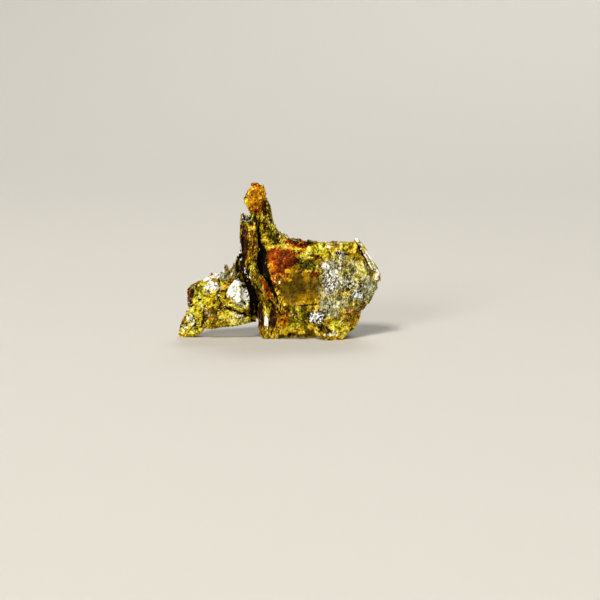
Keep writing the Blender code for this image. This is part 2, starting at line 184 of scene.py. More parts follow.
# Where each mineral shows. The show face is laid out on its own plane: across is X, and up is height as it
# is seen from a little above. Each patch: across, up, half width, half height, turn in degrees, cover. Smoke
# is no mineral: it darkens whichever lies there. Glint is no mineral either: it is painted highlight.
faceTilt = 0.139
patches = {
    "lemon": [
        (-16.0, 8.5, 8.5, 6.5, 0, 0.45),
        (-21.0, 6.6, 1.5, 1.3, 20, 1.0), (-19.2, 8.7, 1.8, 0.9, 25, 0.9),
        (-14.2, 5.0, 2.4, 1.4, 0, 0.85), (-10.9, 7.7, 2.5, 1.0, -8, 0.85),
        (-10.0, 4.4, 3.0, 1.2, 8, 0.7), (-19.6, 10.8, 1.6, 1.5, -30, 0.7),
        (-21.6, 2.6, 2.8, 1.9, 30, 0.7), (-9.2, 10.2, 1.9, 2.6, 15, 0.7),
        (-16.4, 14.7, 2.4, 0.6, 20, 0.5), (14.4, 2.2, 2.2, 1.8, 20, 0.65),
        (17.6, 7.2, 2.0, 2.2, -20, 0.6), (16.4, 22.6, 0.9, 0.9, 0, 1.0),
        (10.2, 21.8, 1.9, 1.5, 0, 0.85), (17.6, 17.6, 3.0, 2.2, 3, 0.5),
        (20.8, 16.6, 0.9, 2.4, 27, 0.8), (16.5, 14.0, 6.5, 6.0, 0, 0.55),
        (12.4, 19.8, 1.6, 1.2, 0, 0.6), (-6.4, 17.6, 1.0, 1.4, 8, 0.9), (-3.1, 6.6, 0.6, 1.0, 0, 1.0),
        (-0.9, 24.2, 1.8, 1.4, -20, 0.35), (-2.0, 28.0, 0.9, 2.0, 6, 0.5),
        (6.4, 20.6, 3.0, 2.0, 0, 0.6), (-17.4, 7.6, 1.6, 1.0, 20, 0.6), (-13.4, 7.2, 1.2, 1.0, 0, 0.5),
        (-9.4, 8.6, 2.2, 3.0, 15, 0.6), (19.0, 9.4, 1.6, 2.0, -30, 0.4),
    ],
    "olive": [
        (4.0, 4.7, 4.2, 3.3, 0, 0.75), (7.2, 18.0, 2.6, 1.8, 0, 0.8), (-2.2, 28.2, 1.3, 3.4, 6, 0.7),
        (-7.8, 28.9, 1.8, 1.4, 0, 0.8), (-5.2, 14.0, 1.2, 2.2, 22, 0.9), (-1.2, 24.6, 2.2, 1.8, 0, 0.7),
        (-20.2, 11.4, 1.4, 2.4, -30, 0.7), (-13.0, 14.6, 1.4, 1.2, 0, 0.8),
        (-11.0, 2.8, 5.0, 0.6, 8, 0.5), (-7.0, 22.6, 1.6, 4.4, 4, 0.35),
        (22.8, 16.9, 0.8, 1.7, 30, 0.6), (10.4, 21.8, 2.0, 1.4, 0, 0.4), (13.0, 6.6, 2.4, 2.6, 0, 0.4),
        (-22.4, 3.0, 2.6, 2.2, 30, 0.45), (14.4, 2.2, 2.6, 2.0, 20, 0.35),
        (-3.0, 29.6, 1.2, 3.8, 6, 0.4), (-15.6, 3.6, 3.0, 1.0, 10, 0.4),
        (-17.6, 13.6, 3.0, 1.6, 25, 0.4), (18.0, 17.6, 3.2, 2.4, 3, 0.5),
        (16.5, 13.5, 6.5, 6.5, 0, 0.4),
    ],
    "realgar": [
        (-0.6, 20.0, 2.4, 2.0, -20, 0.9), (2.4, 19.6, 1.6, 2.2, 35, 0.8),
        (0.4, 17.4, 2.0, 1.4, 25, 0.85), (-1.4, 17.6, 1.0, 1.8, 0, 0.7),
        (4.9, 23.2, 3.6, 1.2, -5, 0.9), (-0.8, 14.3, 1.3, 1.7, 0, 0.7),
        (-2.8, 12.2, 1.0, 3.6, 22, 0.85), (-5.2, 6.0, 1.0, 3.6, 0, 0.35),
        (-1.3, 4.8, 0.9, 3.6, -3, 0.5), (1.0, 4.1, 1.4, 2.0, 0, 0.25), (-5.4, 31.2, 1.6, 1.6, 0, 0.45),
        (-6.3, 36.8, 1.1, 1.0, 0, 0.45), (-4.5, 35.4, 0.7, 1.8, 0, 0.4), (9.0, 15.3, 1.6, 1.0, 10, 0.75),
        (17.9, 6.3, 0.8, 0.7, 0, 0.3), (16.2, 10.6, 0.7, 0.7, 0, 0.6), (21.3, 20.0, 0.6, 2.0, 27, 0.7),
        (9.2, 19.6, 0.8, 0.6, 0, 0.6), (-13.8, 10.8, 0.7, 2.0, 0, 0.4), (1.6, 9.4, 1.6, 1.2, 0, 0.4),
        (-14.2, 7.8, 1.2, 1.2, 0, 0.4),
    ],
    "rust": [
        (-22.2, 9.8, 1.2, 3.0, -12, 1.0), (-8.7, 23.2, 1.1, 4.8, 3, 0.95),
        (-5.3, 5.2, 1.6, 4.8, 0, 1.0), (-1.4, 5.0, 0.9, 4.0, -3, 0.9), (-3.6, 32.0, 0.7, 2.2, 0, 0.9),
        (-2.6, 29.4, 1.2, 3.0, 0, 0.5), (9.3, 19.6, 1.0, 0.7, 0, 0.7), (-14.2, 7.9, 1.3, 1.4, 0, 0.45),
        (-6.8, 23.0, 1.6, 5.0, 4, 0.55), (10.4, 1.8, 1.3, 0.9, 0, 0.5), (-18.4, 4.4, 0.6, 2.4, 0, 0.6),
        (-10.2, 6.2, 2.8, 0.4, -22, 0.8), (9.8, 15.3, 1.2, 1.0, 10, 0.4), (3.4, 24.0, 2.4, 0.6, 0, 0.4),
        (-2.8, 12.2, 1.0, 3.6, 22, 0.3),
    ],
    "honey": [
        (-5.6, 34.4, 2.4, 4.0, 0, 0.8), (-5.0, 37.0, 1.6, 1.4, 0, 0.6),
        (1.6, 14.4, 1.6, 2.6, 20, 0.75), (1.0, 19.0, 3.6, 3.2, 0, 0.8),
        (1.2, 4.6, 1.6, 2.6, 0, 0.75), (-13.8, 5.0, 2.6, 1.5, 0, 0.35), (-16.8, 8.6, 2.2, 1.2, 0, 0.3),
        (4.4, 21.6, 3.4, 1.2, -5, 0.55), (-2.8, 12.0, 1.0, 3.4, 22, 0.5),
        (-7.2, 22.6, 1.1, 4.6, 4, 0.4), (-5.9, 16.0, 1.0, 3.0, 8, 0.4), (2.2, 10.8, 2.2, 3.4, 0, 0.3),
        (17.8, 6.6, 1.4, 1.4, 0, 0.85), (16.2, 10.4, 1.6, 1.0, 0, 0.35),
        (21.0, 18.2, 0.9, 2.6, 27, 0.4), (-12.6, 12.4, 0.8, 2.0, 0, 0.5),
    ],
    "amber": [
        (6.2, 12.0, 4.2, 3.9, 0, 1.0), (2.6, 11.4, 2.4, 3.4, 15, 0.85), (5.0, 15.6, 2.4, 1.8, 0, 0.7),
        (-16.6, 5.6, 1.5, 2.2, 15, 0.85),
    ],
    "smoke": [
        (5.0, 15.6, 1.5, 2.6, 10, 0.55), (5.0, 11.4, 1.8, 2.6, -15, 0.3), (2.4, 11.6, 2.6, 3.6, 0, 0.7),
        (21.6, 10.6, 2.8, 3.6, -34, 1.0), (16.6, 3.2, 3.6, 2.2, 25, 0.4), (4.0, 4.6, 4.2, 3.4, 0, 0.35),
        (-12.6, 15.8, 3.0, 1.6, 0, 0.8), (12.6, 14.6, 1.6, 4.0, 3, 0.4), (0.4, 18.6, 3.2, 3.2, 0, 0.4),
        (-5.4, 31.6, 1.8, 2.0, 0, 0.6), (-22.4, 3.2, 2.6, 2.4, 30, 0.6), (9.0, 14.6, 1.8, 1.6, 0, 0.5),
        (17.2, 22.4, 1.6, 1.2, 0, 0.5), (-5.2, 4.6, 1.6, 3.6, 0, 0.5),
    ],
    # pearl: the pale cleavage faces, with a painted pearly sheen in grey and white
    "pearl": [
        (16.5, 13.0, 8.0, 7.5, 0, 0.52), (14.6, 9.6, 3.6, 3.0, 0, 0.6), (20.4, 11.2, 2.8, 3.6, -34, 0.7),
        (-12.6, 16.8, 3.0, 2.4, 0, 0.85), (12.7, 14.2, 2.4, 5.0, 3, 1.0),
        (11.6, 8.2, 1.6, 2.2, 0, 0.85), (22.2, 12.0, 2.2, 2.6, -34, 0.95),
        (16.6, 13.4, 2.6, 1.7, 0, 0.9), (12.8, 7.0, 2.6, 2.4, 0, 0.7), (14.5, 23.4, 3.5, 0.6, 0, 0.6),
        (15.2, 20.6, 1.8, 0.9, 0, 0.8), (22.6, 18.6, 0.8, 5.0, 33, 0.5),
        (20.0, 8.0, 1.0, 3.0, -30, 0.6),
    ],
    # glint: painted highlights, white where light glances off the wing's plates, the window and the sheets
    "glint": [
        (-16.0, 8.5, 8.5, 6.5, 0, 0.17),
        (-16.3, 12.8, 1.7, 1.2, -25, 0.66), (-17.4, 11.7, 1.2, 0.9, 0, 0.5),
        (-11.0, 12.3, 1.15, 2.5, -28, 1.0), (-9.2, 9.6, 1.7, 2.8, 15, 0.58),
        (-10.0, 4.6, 2.9, 1.2, 8, 0.3), (-16.6, 14.8, 2.6, 0.6, 20, 0.6),
        (-13.2, 14.9, 2.0, 0.7, 0, 0.25), (-22.0, 4.6, 0.8, 1.5, 20, 0.5),
        (-23.8, 2.2, 1.2, 1.2, -20, 0.35), (1.6, 25.3, 1.1, 1.0, -25, 0.45),
        (12.3, 22.3, 0.6, 0.5, 0, 1.0), (0.2, 13.5, 0.2, 0.3, 0, 1.0), (-8.0, 29.2, 1.5, 1.1, 0, 0.3),
        (9.3, 4.7, 1.8, 1.6, -10, 0.55),
        (19.5, 10.7, 1.7, 1.2, -15, 0.6), (24.3, 15.1, 0.6, 1.2, 0, 0.55), (13.6, 0.7, 2.6, 0.6, 5, 0.35),
        (12.7, 15.0, 2.2, 4.2, 0, 0.38), (16.4, 13.4, 2.2, 0.9, 0, 0.25), (15.2, 18.4, 0.3, 2.2, 0, 0.5),
        (11.6, 17.4, 1.2, 1.0, 0, 0.5),
    ],
    # umber: dark specks, and painted shade where it lies in the crevices and recesses
    "umber": [
        (-10.0, 9.4, 2.4, 3.4, 15, 0.36), (9.3, 4.7, 2.0, 1.7, 0, 0.85),
        (19.5, 10.7, 1.8, 1.3, -15, 0.8), (-13.0, 16.6, 2.8, 1.5, 0, 0.5),
        (-22.3, 3.2, 2.6, 2.6, 30, 0.42), (-0.6, 24.6, 3.0, 1.8, 0, 0.5),
        (15.4, 20.6, 1.9, 0.9, 0, 0.5), (12.8, 14.0, 2.4, 5.0, 3, 0.42),
        (17.2, 12.8, 4.2, 2.2, 0, 0.45), (14.4, 2.4, 2.6, 2.0, 20, 0.3), (-2.8, 29.5, 1.5, 4.0, 0, 0.62),
        (-8.2, 24.0, 1.6, 5.0, 3, 0.4), (-2.8, 12.0, 1.2, 3.6, 22, 0.3), (-5.3, 5.6, 1.2, 4.2, 0, 0.5),
        (5.0, 23.5, 3.8, 1.2, -5, 0.68), (-14.2, 8.0, 1.3, 1.5, 0, 0.2),
        (-21.9, 10.0, 1.2, 3.0, -5, 0.2), (-8.0, 29.4, 1.6, 1.4, 0, 0.65),
        (-5.4, 31.0, 1.8, 1.2, 0, 0.25), (-6.2, 16.4, 1.4, 3.4, 8, 0.4), (5.6, 20.0, 2.6, 1.8, 0, 0.42),
        (7.0, 17.0, 2.4, 1.8, 0, 0.42), (0.2, 19.4, 3.4, 3.0, 0, 0.1), (3.7, 4.9, 3.4, 2.6, 0, 0.35),
        (-1.4, 5.0, 0.9, 4.0, 0, 0.55), (-19.8, 11.2, 2.0, 2.4, -30, 0.35),
    ],
}

# The dark cracks, black as painted shade in the crevices beside the leaf and by the wing, and the bright
# edges, which are painted highlights, as lines on the same plane: cover, then across, up and half width
strokes = {
    "umber": [
        # painted shade: the first three lines are the black of the deep crevices about the left leaf and
        # between the wing and the spire
        (1.0, [(-7.7, 31.3, 0.15), (-6.3, 30.1, 0.2), (-5.3, 28.2, 0.35), (-5, 26.5, 0.45),
               (-4.9, 24, 0.35), (-4.3, 21.8, 0.8), (-4.3, 19.5, 1.3), (-4.2, 17.4, 1.2),
               (-3.4, 15.6, 1.05), (-2.6, 14, 0.7), (-1.3, 11.2, 0.5), (0, 8.4, 0.3),
               (1.1, 5.6, 0.15)]),
        (1.0, [(-7.8, 18.8, 0.2), (-7.3, 15, 0.35), (-6, 12.8, 0.4), (-4.2, 10.8, 0.35),
               (-2.2, 8.8, 0.3), (-0.2, 6.8, 0.25), (0.6, 5.4, 0.15)]),
        (0.95, [(-10.4, 22.5, 0.7), (-9.7, 18, 1.1), (-8.9, 15, 1.4), (-7.7, 12.4, 1.2),
                (-6.6, 9.6, 1.1), (-6.2, 6.5, 0.8), (-6.4, 4, 0.5)]),
        (0.8, [(-15.2, 14.8, 0.2), (-14.5, 12.8, 0.28), (-15.1, 10.7, 0.28), (-14.6, 9, 0.3)]),
        (0.8, [(-12.3, 13.9, 0.22), (-13.1, 11.2, 0.24), (-13.1, 9.4, 0.25)]),
        (0.8, [(-22.7, 6.7, 0.2), (-19.3, 9.4, 0.2)]),
        (0.8, [(-12.9, 7.3, 0.2), (-10.3, 6.4, 0.28), (-7, 4.9, 0.35)]),
        (0.8, [(-18.3, 6.7, 0.22), (-18.5, 4.7, 0.26), (-19.3, 2.4, 0.2)]),
        (0.6, [(-16.9, 3.9, 0.1), (-17.4, 2.6, 0.1)]),
        (0.75, [(2.0, 8.3, 0.12), (5.2, 7.8, 0.2), (9.8, 8.1, 0.18)]),
        (0.45, [(10.1, 15.4, 0.1), (10.2, 8.2, 0.1)]),
        (0.6, [(7.6, 20.2, 0.15), (9.8, 19.6, 0.2)]),
        (0.6, [(14, 20.8, 0.2), (17.4, 20.4, 0.25)]),
        (1.0, [(19.2, 23.2, 0.2), (20.4, 20.8, 0.3), (22.2, 17.8, 0.2)]),
        (0.7, [(7.6, 3.9, 0.2), (10.8, 2.9, 0.25)]),
        (0.8, [(-4.1, 7.6, 0.15), (-4.2, 4.7, 0.15), (-3.6, 1.6, 0.15)]),
        (0.8, [(-2.3, 7.6, 0.15), (-2, 4.7, 0.15), (-2.7, 1.6, 0.15)]),
        (0.6, [(-8.9, 28, 0.2), (-8.8, 19, 0.25)]),
        (0.7, [(-3.2, 33, 0.2), (-3.1, 29.6, 0.25)]),
        (0.5, [(-4.8, 38, 0.12), (-4.6, 35.2, 0.14)]),
    ],
    # painted highlights: bright lines where light catches the sheet edges, the prism's lens, the leaf and the
    # fringe's teeth
    "glint": [
        (0.85, [(-3.1, 6.0, 0.15), (-3.1, 4.6, 0.5), (-3.0, 3.2, 0.5), (-2.9, 1.9, 0.1)]),
        (1.0, [(18.6, 24.6, 0.35), (21, 22.4, 0.3), (23.7, 18.2, 0.3), (25, 15.8, 0.4)]),
        (0.7, [(9.8, 23.6, 0.2), (18.4, 24, 0.2)]),
        (0.7, [(20.3, 22.2, 0.12), (21.8, 19.4, 0.15), (23.2, 16.6, 0.15)]),
        (0.8, [(-9.5, 22.9, 0.2), (-9.5, 19.2, 0.2)]),
        (0.9, [(-8.7, 17.7, 0.15), (-8, 14.9, 0.2)]),
        (0.9, [(-7.2, 14.9, 0.15), (-6.8, 14.2, 0.15)]),
        (0.4, [(2.6, 4.7, 0.1), (4, 6.1, 0.1)]),
        (0.7, [(-15.2, 15.2, 0.12), (-14.6, 16.4, 0.12)]),
        (0.7, [(-14.0, 15.6, 0.12), (-13.4, 17.2, 0.12)]),
        (0.7, [(-12.2, 15.4, 0.12), (-11.2, 16.6, 0.12)]),
        (0.7, [(-11.0, 14.8, 0.12), (-10.2, 15.8, 0.12)]),
    ],
}

# in the order that they are laid over the orpiment
# umber holds dark specks and painted shade, pearl a painted sheen, and glint painted highlight
minerals = ("lemon", "olive", "honey", "realgar", "rust", "amber", "pearl", "umber", "glint")

# the noise that breaks up rims: its size and how far it reaches, broad and then gritty
rims = {"broad": 2.4, "broadReach": 0.4, "grit": 0.5, "gritReach": 0.15}


def onFace(points):
    # across and up on the show face
    return np.stack([points[:, 0], 0.99 * points[:, 2] + faceTilt * points[:, 1]], axis=-1)


def raggedness(points):
    # what breaks up the rims of patches and lines: a broad noise with its octaves, plus a gritty one
    broad = rims["broadReach"] * fractal(points, rims["broad"], 3, 45)
    return broad + rims["gritReach"] * noise(points, rims["grit"], 50)


def blots(kind, points):
    # a mineral's strongest patch at each point: boxes rounded by powers of 3, fading over their ragged rims
    seen, ragged = onFace(points), raggedness(points)
    strongest = np.zeros(len(points))
    for across, up, wide, tall, turn, cover in patches[kind]:
        c, s = math.cos(math.radians(turn)), math.sin(math.radians(turn))
        dx, dy = seen[:, 0] - across, seen[:, 1] - up
        reach = (np.abs((dx * c + dy * s) / wide) ** 3 + np.abs((dy * c - dx * s) / tall) ** 3) ** (1 / 3)
        strongest = np.maximum(strongest, cover * (1 - ramp(0.7, 1.25, reach + ragged)))
    return strongest


def lines(kind, points):
    # a mineral's strongest line at each point: a band about it, with thin ones broken where a noise is low
    seen, ragged = onFace(points), raggedness(points)
    strongest = np.zeros(len(points))
    unbroken = ramp(-0.5, 0, noise(points, 0.8, 51))
    for cover, line in strokes.get(kind, []):
        for (ax, ay, aw), (bx, by, bw) in zip(line, line[1:]):
            start, way = np.array([ax, ay]), np.array([bx - ax, by - ay])
            t = np.clip(((seen - start) @ way) / (way @ way), 0, 1)
            wide = aw + (bw - aw) * t
            gap = np.linalg.norm(seen - start - t[:, None] * way, axis=-1)
            whole = np.maximum(unbroken, ramp(0.25, 0.5, wide))
            strongest = np.maximum(strongest, cover * whole * (1 - ramp(0.8, 1.5, gap / wide + 0.5 * ragged)))
    return strongest


def regionOf(points, normals):
    # 0 main mass, 1 wing, 2 left leaf, 3 right leaf, 4 knob, 5 back, 6 prism, 7 edge sheets, 8 pearly face,
    # 9 the wing's fringe
    x, y, up = points[:, 0], points[:, 1], onFace(points)[:, 1]
    up = up + 0.7 * noise(points, 1.4, 21) + 0.6 * noise(points, 0.6, 23)
    region = np.zeros(len(points), int)
    region[(x > 9.9 + 0.3 * noise(points, 1.2, 22)) & (up < 17 + 0.2 * x) & (up > 6)] = 8
    region[(x < -5.2) & (x < -9.5 + (18 - up) * 0.31)] = 1
    leafMiddle = np.interp(up, [6, 8.4, 10.6, 13.4, 16, 20, 25, 31],
                           [1.1, -0.5, -2.2, -4.2, -6.2, -7.2, -7.6, -8])
    leafWidth = np.interp(up, [6, 10, 13, 16, 20, 31], [1, 1.5, 1.8, 1.9, 2.3, 2.4])
    region[(x > -16) & (x < -9.6) & (up > 14.3) & (region == 1)] = 9
    region[(np.abs(x - leafMiddle) < leafWidth) & (up > 6) & (up < 31.5) & (y < 1.2)] = 2
    region[(x > -4.8) & (x < -0.6) & (up > 25.4)] = 3
    region[(up > 29.8) & (x < -3.9)] = 4
    region[(x > -5.4) & (x < 0.2) & (up < 9.2) & (up < 8.8 - (x + 4.4) * 0.75)] = 6
    region[(x > 17.6) & (x > 19.2 + (24.6 - up) * 0.58)] = 7
    region[(y > 3.2) | ((normals[:, 1] > 0.35) & (y > 0.8))] = 5
    return region


# Each region's cleavage: the way that its sheets face, the way that they are drawn out and how long for
# their width, the step between sheets and how much of it shows, the size of its broken facets and how deep
# they are, and how much finer its grain is than the massive orpiment's
cleavage = {
    0: dict(facing=(0.16, -0.97, 0.14), along=(0.35, 0, 1), long=1.2,
            step=0.5, show=0.9, facet=2.6, deep=0.34, fine=1),
    1: dict(facing=(-0.19, -0.59, 0.79), along=(0.9, 0.2, 1), long=1.3,
            step=0.5, show=0.8, facet=2.4, deep=0.32, fine=1),
    2: dict(facing=(-0.95, -0.3, 0.05), along=(0.12, 0, -1), long=2.0,
            step=0.4, show=0.9, facet=1.4, deep=0.2, fine=1.6),
    3: dict(facing=(0.95, -0.3, 0.1), along=(0.1, 0, -1), long=2.0,
            step=0.4, show=0.9, facet=1.4, deep=0.2, fine=1.6),
    4: dict(facing=(-0.3, -0.8, 0.5), along=(0.3, 0, 1), long=1.2,
            step=0.6, show=0.5, facet=2.0, deep=0.3, fine=0.9),
    5: dict(facing=(0.15, 0.96, 0.2), along=(0.1, 0, 1), long=1.4,
            step=0.6, show=0.6, facet=3.4, deep=0.45, fine=1),
    6: dict(facing=(-0.6, -0.8, 0), along=(0, 0, 1), long=2.6,
            step=0.5, show=0.6, facet=1.6, deep=0.2, fine=1.6),
    7: dict(facing=(0.84, -0.1, 0.52), along=(0.5, 0, -0.86), long=2.4,
            step=0.35, show=1.0, facet=1.6, deep=0.15, fine=1.5),
    8: dict(facing=(0.32, -0.93, 0.14), along=(0.2, 0, 1), long=1.4,
            step=0.35, show=1.0, facet=2.0, deep=0.2, fine=1.2),
    9: dict(facing=(-0.2, -0.93, 0.3), along=(0.2, 0, 1), long=2.4,
            step=0.35, show=0.9, facet=1.2, deep=0.2, fine=1.4),
}

# The same everywhere: how far the sheets sway and over what size, how steep a riser between sheets is, how
# deep the grooves between them are and over what size they come and go, and how much finer each size of
# broken facet is than the last
relief = {"sway": 0.6, "swaySize": 3.4, "riser": 2.6, "groove": 0.08, "grooveSize": 1.5, "finer": 2.3}


def framesOf(region):
    # each point's cleavage frame: the way its sheets face, the way they are drawn out, and how long they are
    facing = unit([cleavage[key]["facing"] for key in cleavage])
    along = np.array([cleavage[key]["along"] for key in cleavage], float)
    along = unit(along - facing * (along * facing).sum(-1, keepdims=True))
    return facing[region], along[region], np.array([cleavage[key]["long"] for key in cleavage])[region]


def grainOf(points, region):
    # each point in its own cleavage frame, in metres, with the drawn-out way shortened to stretch patterns
    facing, along, longer = framesOf(region)
    ways = (np.cross(facing, along), facing, along / longer[:, None])
    return np.stack([(points * way).sum(-1) for way in ways], axis=-1) * mm


def grainFor(points, region):
    # the same, made finer by its region, for the shader's patterns
    return grainOf(points, region) * np.array([cleavage[key]["fine"] for key in cleavage])[region][:, None]


def foliated(points, normals, region, smoothness):
    # raises each point along its normal: to the nearest sheet of its region's cleavage where it lies along
    # it, and by broken facets in three sizes, each smaller and shallower than the last. Each crystal has a
    # number from 0 to 1. Low is 1 in the hollows and grooves, and below 0 on the crests; the shader paints
    # shade into the hollows and highlight onto the crests with it
    height = np.zeros(len(points))
    number = np.zeros(len(points))
    low = np.zeros(len(points))
    for key, leaf in cleavage.items():
        mine = np.flatnonzero(region == key)
        p, n = points[mine], normals[mine]
        facing = unit(leaf["facing"])
        own = grainOf(p, region[mine]) / mm
        level = np.abs(n @ facing)
        sway = relief["sway"] * facets(own, relief["swaySize"], 60 + key)
        turn = (p @ facing + sway) / leaf["step"]
        within = turn - np.floor(turn)
        riser = np.clip((within - 0.5) * relief["riser"] + 0.5, 0, 1)
        terrace = (riser - within) * leaf["step"] * np.sign(n @ facing)
        grooved = (1 - level) * ramp(-0.1, 0.4, noise(own, relief["grooveSize"], 75 + key))
        groove = (1 - ramp(0, 0.2, np.abs(within - 0.5))) * grooved
        finer = relief["finer"]
        broken = [facets(own, leaf["facet"] / finer ** order, 80 + key + 20 * order) for order in range(3)]
        rubble = sum(layer * leaf["deep"] / finer ** order for order, layer in enumerate(broken))
        sheets = terrace * leaf["show"] * ramp(0.5, 0.9, level)
        height[mine] = sheets - relief["groove"] * groove + rubble
        plates = crystals(own, leaf["facet"] * 0.8, 140 + key)
        number[mine] = 0.5 * plates + 0.5 * crystals(own, leaf["facet"] * 0.35, 150 + key)
        rough = broken[1] + 0.6 * broken[2]
        # painted shade in the hollows and grooves, painted highlight on the crests
        low[mine] = np.maximum(ramp(0.1, 0.8, -rough), 0.8 * groove) - 0.6 * ramp(0.3, 0.9, rough)
    return points + normals * (height * smoothness)[:, None], ramp(0.1, 0.9, number), low


# The rock is worked in three closed pieces, so that each has a fine grid under 200,000 triangles. They meet
# on two seams, and run on a little past each, sinking under the neighbour.
rock = {
    "wingSeam": dict(through=(-9.5, 0, 18.18), facing=(1, 0.043, 0.307)),  # up the dark web beside the wing
    "pearlSeam": dict(through=(10.2, 0, 0), facing=(1, 0, 0)),  # down the right edge of the amber window
    "pieces": {
        "wingRock": dict(voxel=0.155, sides=[("wingSeam", -1)]),
        "middleRock": dict(voxel=0.185, sides=[("wingSeam", 1), ("pearlSeam", -1)]),
        "pearlRock": dict(voxel=0.175, sides=[("pearlSeam", 1)]),
    },
    "overlap": 1.0,
    "sink": 0.35,
    "boxMargin": 0.01,
    "crackDepth": 0.2,
    # how much the cracks are darkened as painted shade
    "crackShade": 0.8,
    "smokeDark": 0.4,
    "plateFlat": 0.6,
    "windowFlat": 0.65,
}

# the amber window's own tone, with broad clouds and plates in it, and their sizes
windowGlass = {"tone": 0.58, "clouds": 0.35, "cloudSize": 2.6, "plates": 0.4, "plateSize": 1.9}


def pastSeam(points, side):
    # how far each point is past a seam, out of the piece
    seam = rock[side[0]]
    return -side[1] * ((points - np.array(seam["through"])) @ unit(seam["facing"]))


def evenSkin(name, piece):
    # the solid cut to this piece by a box that ends at its seams, and made again on an even grid of points
    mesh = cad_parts[nodeName].data.copy()
    bm = bmesh.new()
    bm.from_mesh(mesh)
    bmesh.ops.remove_doubles(bm, verts=bm.verts, dist=1e-6)  # the solid comes as loose triangles
    bm.to_mesh(mesh)
    bm.free()
    holder = bpy.data.objects.new(name, mesh)
    bpy.context.scene.collection.objects.link(holder)
    bm = bmesh.new()
    bmesh.ops.create_cube(bm, size=200 * mm)  # far larger than the piece
    for seamName, keep in piece["sides"]:
        out = -keep * unit(rock[seamName]["facing"])
        through = (np.array(rock[seamName]["through"]) + out * rock["overlap"]) * mm
        everything = bm.verts[:] + bm.edges[:] + bm.faces[:]
        bmesh.ops.bisect_plane(bm, geom=everything, plane_co=through, plane_no=out, clear_outer=True)
        bmesh.ops.holes_fill(bm, edges=[edge for edge in bm.edges if edge.is_boundary], sides=0)
    boxMesh = bpy.data.meshes.new(name + "Box")
    bm.to_mesh(boxMesh)
    bm.free()
    box = bpy.data.objects.new(name + "Box", boxMesh)
    bpy.context.scene.collection.objects.link(box)
    cut = holder.modifiers.new("cut to the seams", "BOOLEAN")
    cut.operation, cut.solver, cut.object = "INTERSECT", "EXACT", box
    grid = holder.modifiers.new("even grid", "REMESH")
    grid.mode = "VOXEL"
    grid.voxel_size = piece["voxel"] * mm
    graph = bpy.context.evaluated_depsgraph_get()
    skin = bpy.data.meshes.new_from_object(holder.evaluated_get(graph))
    for old in (holder, box):
        bpy.data.objects.remove(old)
    for old in (mesh, boxMesh):
        bpy.data.meshes.remove(old)
    return skin


def arraysOf(mesh):
    # a mesh's points in millimetres, its points' normals and its faces, as arrays
    points = np.empty(len(mesh.vertices) * 3, np.float32)
    mesh.vertices.foreach_get("co", points)
    normals = np.empty(len(mesh.vertices) * 3, np.float32)
    mesh.vertex_normals.foreach_get("vector", normals)
    corners = np.empty(len(mesh.loops), np.int32)
    mesh.loops.foreach_get("vertex_index", corners)
    points, normals = (array.reshape(-1, 3).astype(float) for array in (points, normals))
    return points / mm, normals, corners.reshape(-1, 4)


def insideBox(points):
    # no point beyond the solid's own box, and the foot stays on the ground
    low, high = (np.array(side) / mm for side in cadBox)
    return np.clip(points, low + rock["boxMargin"] * (low < -1), high - rock["boxMargin"])


# the minerals of the back: the size of their noise, and how high it is where they start
backMinerals = {"realgar": (6, 0.12), "olive": (5, 0), "lemon": (4, 0), "pearl": (4.5, 0.15),
                "umber": (2, 0.1)}
backCover = 0.7


def finishes(points, normals):
    # each mineral's cover at each point: the drawn patches in front, and broad noise behind. It is spread to
    # -0.12 to 1.13, so that no cover takes no crystal, and full cover takes them all
    front = 1 - ramp(-0.2, 0.1, normals[:, 1])
    back = 1 - front
    values = {}
    for order, kind in enumerate(minerals):
        values[kind] = np.maximum(blots(kind, points), lines(kind, points)) * front
        if kind in backMinerals:
            size, least = backMinerals[kind]
            cover = back * ramp(least, least + 0.5, fractal(points, size, 4, 5 + order)) * backCover
            values[kind] = np.maximum(values[kind], cover)
        values[kind] = values[kind] * 1.25 - 0.12
    return values


def makeRock(name, piece, material):
    # one piece of the rock: its even skin raised along the cleavage, flatter on the window and on the wing's
    # plates that are painted white as highlights, let in at the cracks and sunk past the seams. It gives back
    # the ground for loose scales
    skin = evenSkin(name + "Skin", piece)
    points, normals, faces = arraysOf(skin)
    bpy.data.meshes.remove(skin)
    region = regionOf(points, normals)
    window = ramp(0.3, 0.8, blots("amber", points)) * (normals[:, 1] < 0) * (points[:, 0] > -1)
    plate = rock["plateFlat"] * ramp(0.5, 0.9, blots("glint", points)) * (region == 1)
    flat = np.maximum(rock["windowFlat"] * window, plate)
    moved, number, low = foliated(points, normals, region, 1 - flat)
    cracks = lines("umber", points) * (normals[:, 1] < 0.2)
    moved -= normals * (rock["crackDepth"] * cracks)[:, None]
    clouds = windowGlass["clouds"] * fractal(points, windowGlass["cloudSize"], 3, 9)
    plates = windowGlass["plates"] * (crystals(points @ facetTurn, windowGlass["plateSize"], 33) - 0.5)
    glass = windowGlass["tone"] + clouds + plates
    number = number + (glass - number) * window - rock["smokeDark"] * blots("smoke", points)
    number = np.maximum(number, 0) * (1 - rock["crackShade"] * cracks)  # painted shade: a crack is drawn blackest
    own = finishes(points, normals) | {"number": number, "low": low, "grain": grainFor(points, region)}
    for side in piece["sides"]:
        moved -= normals * (rock["sink"] * ramp(0.25, 1, pastSeam(points, side) / rock["overlap"]))[:, None]
    moved = insideBox(moved)
    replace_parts(madeMesh(name, moved, faces, own, material, sharp=30), nodeName)
    print(name, "made:", len(faces) * 2, "triangles")
    mine = np.all([pastSeam(points, side) < 0 for side in piece["sides"]], axis=0)
    ground = (moved, normals, region, window, number, own["realgar"], own["pearl"])
    return [values[mine] for values in ground]


